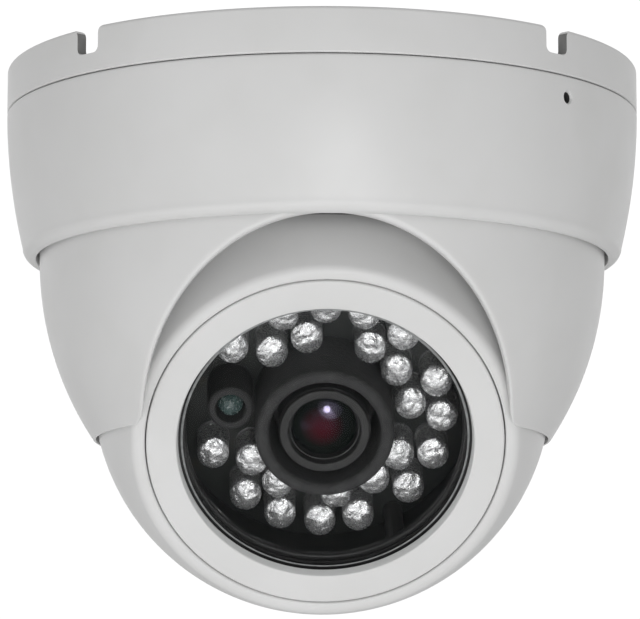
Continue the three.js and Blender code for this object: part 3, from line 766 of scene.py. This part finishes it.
def slot_edge():
    """Half of the shroud's lower edge, as (turn from the front in radians, height): arch, corner, rim."""
    rim = SHROUD.low
    arch = []
    for i in range(SLOT_STEPS.arch + 1):
        t = math.pi / 2 * (1 - i / SLOT_STEPS.arch)
        height = rim + SLOT.height * math.sin(t)
        arch.append(Vector((math.asin(SLOT.half_width * math.cos(t) / dome_radius(height)), height)))
    corner = arch[-1]
    start = min(arch, key=lambda p: abs((p - corner).y - SLOT.corner))
    rim_radius = dome_radius(rim)
    end = Vector((corner.x + SLOT.corner / rim_radius, rim))
    edge = [p for p in arch if p.y > start.y] + bend(start, corner, end, SLOT_STEPS.corner)
    back = Vector((math.pi, rim))
    edge += [end.lerp(back, i / SLOT_STEPS.rim) for i in range(1, SLOT_STEPS.rim + 1)]
    return edge


def round_dome(radius, turn, height):
    """A point round the dome's axis. Turns run from the front, which is -Y, towards +X."""
    return Vector((radius * math.sin(turn), -radius * math.cos(turn), height))


def on_wall(turn, height, inner=False):
    return round_dome(socket_radius(height) if inner else dome_radius(height), turn, height)


def shroud_column(edge, before, after):
    """One closed outline of the shroud, from its inner top down to the edge and back up to its flange."""
    ahead = after - before
    radius = dome_radius(edge.y)
    run = Vector((ahead.x * radius, ahead.y)).normalized()
    into = Vector((-run.y / radius, run.x))  # away from the edge, along the wall
    top = DOME.neck_top - 0.25
    margin = min(SLOT.margin, (top - edge.y) / max(0.2, into.y))

    def wall_at(distance):
        point = edge + into * distance
        return on_wall(point.x, min(point.y, top))

    outer_edge = on_wall(edge.x, edge.y)
    x_inner = min(1.0, abs(outer_edge.x) / socket_radius(edge.y))
    to_fade_end = math.radians(SLOT.fade_end_deg) - abs(edge.x)
    slot_share = max(0.0, min(1.0, to_fade_end / math.radians(SLOT.fade_deg)))
    inner_turn = edge.x + (math.copysign(math.asin(x_inner), edge.x) - edge.x) * slot_share
    if abs(edge.x) > math.pi / 2:
        inner_turn = edge.x
    inner_edge = on_wall(inner_turn, edge.y, True)
    thick = (outer_edge - inner_edge).length
    lip = min(SLOT.lip, 0.6 * thick, margin)
    inner_lip = min(SLOT.inner_lip, 0.3 * thick)
    toward_inner = (inner_edge - outer_edge).normalized()
    turn = (edge + into * margin).x
    start_z = min((edge + into * margin).y, top)
    shift = inner_turn - edge.x
    up_inner = on_wall(turn + shift, start_z, True)
    nose = bend(wall_at(lip), outer_edge, outer_edge + toward_inner * lip, 6)
    heel = bend(inner_edge - toward_inner * inner_lip, inner_edge,
                inner_edge + (up_inner - inner_edge).normalized() * inner_lip, 3)
    outer_wall = [on_wall(turn, start_z + (top - start_z) * i / WALL_ROWS) for i in range(WALL_ROWS + 1)]
    fanned = [wall_at(margin + (lip - margin) * i / 3) for i in (1, 2)]
    inner_wall = [
        on_wall(turn + shift * (1 - i / WALL_ROWS), start_z + (SHROUD.high - start_z) * i / WALL_ROWS, True)
        for i in range(WALL_ROWS + 1)
    ]
    flange = [
        round_dome(dome_radius(top), turn, DOME.neck_top),
        round_dome(SHROUD.radius - 0.2, turn, DOME.neck_top),
        round_dome(SHROUD.radius, turn, DOME.neck_top + 0.2),
        round_dome(SHROUD.radius, turn, SHROUD.high - 0.3),
        round_dome(SHROUD.radius - 0.3, turn, SHROUD.high),
        round_dome(SHROUD.radius - 0.6, turn, SHROUD.high),
    ]
    return inner_wall[::-1] + heel[::-1] + nose[::-1] + fanned[::-1] + outer_wall + flange


def dome_shell():
    half = slot_edge()
    mirrored = [Vector((-p.x, p.y)) for p in half[1:-1]][::-1]
    edge = mirrored + half
    columns = []
    for i, point in enumerate(edge):
        before = edge[i - 1]
        after = edge[(i + 1) % len(edge)]
        if i == 0:
            before = Vector((before.x - 2 * math.pi, before.y))
        if i == len(edge) - 1:
            after = Vector((after.x + 2 * math.pi, after.y))
        columns.append(shroud_column(point, before, after))
    shell = skin("dome_shell", columns)
    return placed(smooth(shell, 40), "dome", "white_plastic", "dome_shroud")


# ---- Ball ----

SHELL = SimpleNamespace(
    wall=2.2, face_round=1.8, fit=0.3, shelf=14.3, shelf_back=12.8, shelf_bore=24.9, part_line=0.15,
)
WELL = SimpleNamespace(circle=29.2, radius=2.5, wall=1.1, seat=-4.0, hole=1.3)
BALL_R = FRONT_SHELL.radius
REAR_BUSH_NECK = 4.0


def on_ball(radius, low, high, steps):
    """Points of a circle about the ball's centre, between two heights."""
    start = math.degrees(math.asin(low / radius))
    end = math.degrees(math.asin(high / radius))
    return arc(0, 0, radius, start, end, steps)


def ball_front():
    face = FRONT_SHELL.high
    bore = BEZEL.radius + SHELL.fit
    round_h = face - SHELL.face_round
    round_r = math.sqrt((BALL_R - SHELL.face_round) ** 2 - round_h ** 2)
    start = math.degrees(math.atan2(round_h, round_r))
    lip = SHELL.part_line
    profile = on_ball(BALL_R, lip, polar(BALL_R, start)[1], 40)
    profile += arc(round_r, round_h, SHELL.face_round, start, 90, 14)[1:]
    profile += arc(bore + 0.35, face - 0.35, 0.35, 90, 180, 5)
    profile += [(bore, SHELL.shelf), (SHELL.shelf_bore, SHELL.shelf), (SHELL.shelf_bore, SHELL.shelf_back)]
    profile += on_ball(BALL_R - SHELL.wall, SHELL.shelf_back, lip, 16)
    shell = turned("ball_front", profile, FACE, 256)
    return placed(shell, "ball", "white_plastic", "ball_front_shell")


def ball_back():
    hole = REAR_BUSH_NECK + 0.3
    outer_low = -math.sqrt(BALL_R ** 2 - hole ** 2)
    inner = BALL_R - SHELL.wall
    inner_low = -math.sqrt(inner ** 2 - hole ** 2)
    profile = on_ball(BALL_R, outer_low, -SHELL.part_line, 48)
    profile += on_ball(inner, -SHELL.part_line, inner_low, 32)
    shell = turned("ball_back", profile, FACE, 192)
    wells = []
    bores = []
    for side in (-1, 1):
        place = moved(FACE, side * WELL.circle, 0)
        mouth = -math.sqrt((BALL_R - 0.6) ** 2 - (WELL.circle + WELL.radius + WELL.wall - 0.6) ** 2)
        wells.append(rod(f"well_{side}", WELL.radius + WELL.wall, mouth, -SHELL.part_line, place))
        bores.append(rod(f"bore_{side}", WELL.radius, -BALL_R, WELL.seat, place))
        bores.append(rod(f"clear_{side}", WELL.hole, WELL.seat - PAST, PAST, place))
    return placed(carved(shell, wells, bores), "ball", "white_plastic", "ball_rear_shell")


def rear_bush():
    flange = REAR_BUSH.high - 1.2
    profile = rounded([
        (REAR_BUSH.bore, REAR_BUSH.low, 0.3), (REAR_BUSH_NECK, REAR_BUSH.low, 0.4),
        (REAR_BUSH_NECK, flange, 0.2), (REAR_BUSH.radius, flange, 0.2),
        (REAR_BUSH.radius, REAR_BUSH.high, 0.4), (REAR_BUSH.bore, REAR_BUSH.high, 0.3),
    ])
    return placed(turned("rear_bush", profile, FACE, 64), "ball", "black_rubber", "rear_grommet")


# ---- Bezel and window ----

LIP = SimpleNamespace(
    hole=BEZEL.bore, slope=0.14, outer=BEZEL.radius + 0.13, back=PANE.high + 0.05, recess=24.8,
)
PANE_EDGE = SimpleNamespace(flange=0.6, bevel=0.2, bevel_width=0.32, margin=LIP.hole - 0.48, slack=0.01)


def bezel_ring():
    profile = rounded([
        (LIP.hole - LIP.slope, LIP.back, 0.1), (LIP.hole + LIP.slope, BEZEL.high, 0.25),
        (LIP.outer, BEZEL.high, 0.35),
        (LIP.outer, BEZEL.low, 0.3), (LIP.recess, BEZEL.low, 0.2), (LIP.recess, LIP.back, 0.1),
    ])
    return placed(turned("bezel_ring", profile, FACE, 256), "core", "white_plastic", "front_bezel")


def window_pane():
    """A stepped pane: a thin flange with black print on it under the bezel's lip, then a ground bevel."""
    flange_top = PANE.high - PANE_EDGE.flange
    bevel_low = PANE.high - PANE_EDGE.bevel
    margin = PANE_EDGE.margin
    clear = margin - PANE_EDGE.bevel_width
    profile = [
        (0, PANE.low), (PANE.radius - 0.2, PANE.low), (PANE.radius, PANE.low + 0.2),
        (PANE.radius, flange_top), (margin, flange_top), (margin, bevel_low), (clear, PANE.high),
        (0, PANE.high),
    ]
    pane = turned("window_pane", profile, FACE, 192)
    placed(pane, "core", "window_glass", "window_glass")
    slack = PANE_EDGE.slack

    def on_flange(centre, _normal):
        radius, height = seen_from(FACE, centre)
        return radius > margin - slack and height > flange_top - slack

    def on_bevel(centre, _normal):
        radius, height = seen_from(FACE, centre)
        return clear < radius < margin - slack and height > bevel_low + slack

    painted(pane, MATERIALS["black_plastic"], on_flange)
    painted(pane, ground_edge(), on_bevel)
    return pane


def window_seal():
    profile = rounded([
        (GASKET.bore, GASKET.low, 0.2), (GASKET.radius, GASKET.low, 0.2),
        (GASKET.radius, GASKET.high, 0.2), (GASKET.bore, GASKET.high, 0.2),
    ])
    return placed(turned("window_seal", profile, FACE), "core", "black_rubber", "window_gasket")


RETAINER_RING = SimpleNamespace(thick=1.5, skirt=23.6, post=1.5, pilot=0.95)
BOARD_SCREWS = ["board_screw_1", "board_screw_2", "board_screw_3"]


def pane_retainer():
    """A black cup that presses the window into the bezel and reaches back to the LED board."""
    back = RETAINER.high - RETAINER_RING.thick
    profile = rounded([
        (RETAINER.bore, back, 0.3), (RETAINER_RING.skirt, back, 0.3),
        (RETAINER_RING.skirt, RETAINER.low, 0.2), (RETAINER.radius, RETAINER.low, 0.2),
        (RETAINER.radius, RETAINER.high, 0.3), (RETAINER.bore, RETAINER.high, 0.4),
    ])
    posts = []
    holes = []
    for node in BOARD_SCREWS:
        screw = measured(node, FACE)
        place = moved(FACE, screw.x, screw.y)
        posts.append(rod(f"post_{node}", RETAINER_RING.post, RETAINER.low, RETAINER.high - 0.5, place))
        holes.append(rod(f"pilot_{node}", RETAINER_RING.pilot, RETAINER.low - 0.5, screw.high + 0.3, place))
    cup = carved(turned("pane_retainer", profile, FACE), posts, holes)
    return placed(cup, "core", "black_plastic", "window_retainer")


# ---- LED board ----

EMITTERS = [f"led_{i:02}" for i in range(1, 25)]
HEAD = SimpleNamespace(radius=1.85, top=6.2, rise=1.2, stem=1.5, foot=0.3)
POST = SimpleNamespace(width=0.4, depth=1.0, gap=0.1, drop=0.4)  # the thin post beside the head
CRUMPLE = SimpleNamespace(size=0.8, depth=0.16)


def led_disc():
    profile = rounded([
        (BOARD.bore, BOARD.low, 0.1), (BOARD.radius, BOARD.low, 0.1),
        (BOARD.radius, BOARD.high, 0.1), (BOARD.bore, BOARD.high, 0.1),
    ])
    return placed(turned("led_disc", profile, FACE), "core", "circuit_board", "led_board")


def emitter(node, place, size):
    """The clear body of a round LED: a flange, a straight side and a dome."""
    body = size.radius - 0.1
    straight = size.height - body
    profile = rounded([
        (0, 0), (size.radius, 0, 0.15), (size.radius, 0.9, 0.15), (body, 0.95, 0.1), (body, straight),
    ])
    profile += arc(0, straight, body, 0, 90, 14)[1:]
    return placed(turned(node.replace("led", "emitter"), profile, place, 48), "core", "led_resin", node)


def crumpled(obj, size, depth):
    """Pushes a skin in and out by noise whose bumps are about size millimetres wide."""
    mesh = obj.data
    normals = [vertex.normal.copy() for vertex in mesh.vertices]
    for vertex, normal in zip(mesh.vertices, normals):
        vertex.co += normal * depth * MM * noise.noise((obj.matrix_world @ vertex.co) / (size * MM))
    return obj


def emitter_frame(node, place):
    """The silver frame that the clear body magnifies: a domed head on a stem, and a thin post beside it."""
    shoulder = HEAD.top - HEAD.rise
    slopes = [math.pi / 2 * i / 14 for i in range(15)]
    profile = [(HEAD.radius * math.sin(t), shoulder + HEAD.rise * math.cos(t)) for t in slopes]
    profile += [(HEAD.radius + (HEAD.stem - HEAD.radius) * i / 4, shoulder - 0.3 * i) for i in range(1, 5)]
    profile += [(HEAD.stem, HEAD.foot + (shoulder - 1.5) * (1 - i / 8)) for i in range(9)]
    profile += [(0, HEAD.foot)]
    name = node.replace("led", "emitter_frame")
    frame_piece = crumpled(turned(name, profile, place, 40), CRUMPLE.size, CRUMPLE.depth)
    beside = moved(place, HEAD.radius + POST.gap, 0)
    post = prism("post", box_outline(POST.width, POST.depth), HEAD.foot, shoulder - POST.drop, beside)
    return placed(carved(frame_piece, [post]), "core", "steel", material=SILVER)


def emitters():
    turns = random.Random(5)
    for node in EMITTERS:
        where = measured(node, FACE)
        place = moved(FACE, where.x, where.y, where.low)
        size = SimpleNamespace(radius=where.width / 2, height=where.high - where.low)
        emitter(node, place, size)
        emitter_frame(node, place @ Matrix.Rotation(turns.uniform(0, 2 * math.pi), 4, "Z"))


def light_sensor():
    holder = measured("light_sensor_holder", FACE)
    eye = measured("light_sensor", FACE)
    place = moved(FACE, holder.x, holder.y)
    radius = holder.width / 2
    eye_r = eye.width / 2
    bore = eye_r + 0.3
    cup = rounded([
        (bore, holder.low, 0.1), (radius, holder.low, 0.2), (radius, holder.high, 0.6),
        (bore, holder.high, 0.25),
    ])
    placed(turned("eye_holder", cup, place, 64), "core", "black_rubber", "light_sensor_holder")
    dome = [(0, eye.low), (eye_r, eye.low)] + arc(0, eye.high - eye_r, eye_r, 0, 90, 12)
    placed(turned("eye", dome, place, 48), "core", "sensor_resin", "light_sensor")


# ---- Lens ----


def lens_tube():
    profile = rounded([
        (TUBE.bore, TUBE.low, 0.2), (TUBE.radius, TUBE.low, 0.2),
        (TUBE.radius, TUBE.high, 1.0), (TUBE.bore, TUBE.high, 0.9),
    ])
    return placed(turned("lens_tube", profile, FACE, 128), "core", "grey_rubber", "lens_shield")


THREAD = SimpleNamespace(radius=6.0, pitch=0.5, depth=0.3)
MOUTH = SimpleNamespace(radius=5.5, seat=15.0, seat_radius=5.3, head_back=8.6, bore=3.0)


def lens_body():
    """A black barrel: thread, flat-faced head, and a short cone round the front element."""
    seat_r = LENS.radius + 0.3
    face_r = BARREL.radius - 0.15
    face = BARREL.high
    thread = []
    for i in range(int((MOUTH.head_back - BARREL.low) / THREAD.pitch)):
        root = BARREL.low + i * THREAD.pitch
        thread += [(THREAD.radius - THREAD.depth, root), (THREAD.radius, root + THREAD.pitch / 2)]
    profile = rounded([
        *thread,
        (THREAD.radius - THREAD.depth, MOUTH.head_back), (BARREL.radius, MOUTH.head_back, 0.2),
        (BARREL.radius, face - 0.9, 0.1), (face_r, face - 0.75, 0.1), (face_r, face, 0.3),
        (MOUTH.radius, face, 0.25), (MOUTH.seat_radius, MOUTH.seat, 0.05), (seat_r, MOUTH.seat, 0.05),
        (seat_r, LENS.low - 0.3), (MOUTH.bore, LENS.low - 0.3), (MOUTH.bore, BARREL.low),
    ])
    return placed(turned("lens_body", profile, FACE, 128), "lens", "lens_metal", "lens_barrel")


def lens_front():
    rise = 1.6
    face_r = (LENS.radius ** 2 + rise ** 2) / (2 * rise)
    start = math.degrees(math.acos(LENS.radius / face_r))
    profile = [(0, LENS.low), (LENS.radius, LENS.low)] + arc(0, LENS.high - face_r, face_r, start, 90, 16)
    return placed(turned("lens_front", profile, FACE, 96), "lens", "lens_glass", "lens_glass")


# ---- Nodes that stay as they are, with a finish and soft edges ----

KEPT = {
    "white_plastic": ["ball_seat_ring"],
    "grey_rubber": ["friction_ring"],
    "black_plastic": ["lens_holder"],
    "circuit_board": ["sensor_board"],
    "chip_resin": ["image_sensor", "processor_chip"],
    "connector_plastic": ["board_connector"],
    "steel": [
        "standoff_1", "standoff_2", "seat_screw_1", "seat_screw_2", "seat_screw_3", "seat_screw_4",
        "shell_screw_1", "shell_screw_2", "board_screw_1", "board_screw_2", "board_screw_3",
    ],
}


def kept_nodes():
    for slot, nodes in KEPT.items():
        for node in nodes:
            obj = frame["nodes"][node]
            obj.data.materials.clear()
            obj.data.materials.append(MATERIALS[slot])
            softened(obj, 0.12)


# ---- Stage, lights and camera ----

FLOOR_DROP = 1.4  # metres from the ceiling face down to the floor
FLOOR_WIDTH = 40  # metres
CAMERA = SimpleNamespace(
    place=Vector((-0.0181, -0.5992, -0.1276)), yaw=math.radians(-1.7), pitch=math.radians(8.6), lens=220,
)


def stage():
    mesh = bpy.data.meshes.new("floor")
    corners = [(x, y, 0) for x, y in box_outline(FLOOR_WIDTH, FLOOR_WIDTH)]
    mesh.from_pydata(corners, [], [(0, 1, 2, 3)])
    floor = linked("floor", mesh, Matrix.Translation((0, 0, -FLOOR_DROP)))
    floor.data.materials.append(
        Finish("pale_floor", (0.78, 0.78, 0.78), (0.8, 0.8, 0.8), (0.6, 0.7), patch=0.5).material
    )


def world():
    """A plain white studio, darker on the camera's side than behind the object."""
    sky = bpy.data.worlds.new("studio")
    bpy.context.scene.world = sky
    sky.use_nodes = True
    nodes = sky.node_tree.nodes
    links = sky.node_tree.links
    direction = nodes.new("ShaderNodeTexCoord").outputs["Generated"]
    parts = nodes.new("ShaderNodeSeparateXYZ")
    links.new(direction, parts.inputs["Vector"])
    spread = nodes.new("ShaderNodeMapRange")
    spread.inputs["From Min"].default_value = 0.3
    spread.inputs["From Max"].default_value = 0.9
    spread.inputs["To Min"].default_value = 0.4
    spread.inputs["To Max"].default_value = 1.05
    links.new(parts.outputs["Y"], spread.inputs["Value"])
    links.new(spread.outputs["Result"], nodes["Background"].inputs["Strength"])
    nodes["Background"].inputs["Color"].default_value = (1, 1, 1, 1)


def lamp(name, azimuth, elevation, distance, size, power):
    """A round soft light that points at the ball, with its distance and size in metres and power in watts.

    Azimuth 0 is straight in front, and +90 is to the right.
    """
    across, ahead = polar(math.cos(math.radians(elevation)), azimuth - 90)
    out = Vector((across, ahead, math.sin(math.radians(elevation))))
    light = bpy.data.lights.new(name, "AREA")
    light.shape = "DISK"
    light.size = size
    light.energy = power
    obj = bpy.data.objects.new(name, light)
    bpy.context.scene.collection.objects.link(obj)
    obj.location = BALL_CENTRE + out * distance
    obj.rotation_euler = (-out).to_track_quat("-Z", "Y").to_euler()
    obj.visible_camera = False


def lights():
    lamp("key", 0, -38, 1.5, 1.6, 7.9)
    lamp("low_left", -55, -42, 1.5, 0.6, 1.7)
    lamp("below", 0, -96, 1.5, 0.8, 26)
    lamp("above_left", -30, 20, 1.5, 0.9, 0.5)
    lamp("spark", 6, -12, 1.6, 0.42, 4)


def camera():
    data = bpy.data.cameras.new("view")
    data.lens = CAMERA.lens
    data.sensor_width = 36
    data.clip_start = 0.01
    data.clip_end = 100
    obj = bpy.data.objects.new("view", data)
    bpy.context.scene.collection.objects.link(obj)
    obj.location = CAMERA.place
    obj.rotation_euler = (math.pi / 2 + CAMERA.pitch, 0, CAMERA.yaw)
    bpy.context.scene.camera = obj


camera()
stage()
world()
lights()
bpy.context.scene.view_settings.view_transform = "Standard"

base_tray()
base_bush()
twist_ring()
set_screw()
dome_shell()
ball_front()
ball_back()
rear_bush()
bezel_ring()
window_pane()
window_seal()
pane_retainer()
led_disc()
emitters()
light_sensor()
lens_tube()
lens_body()
lens_front()
kept_nodes()
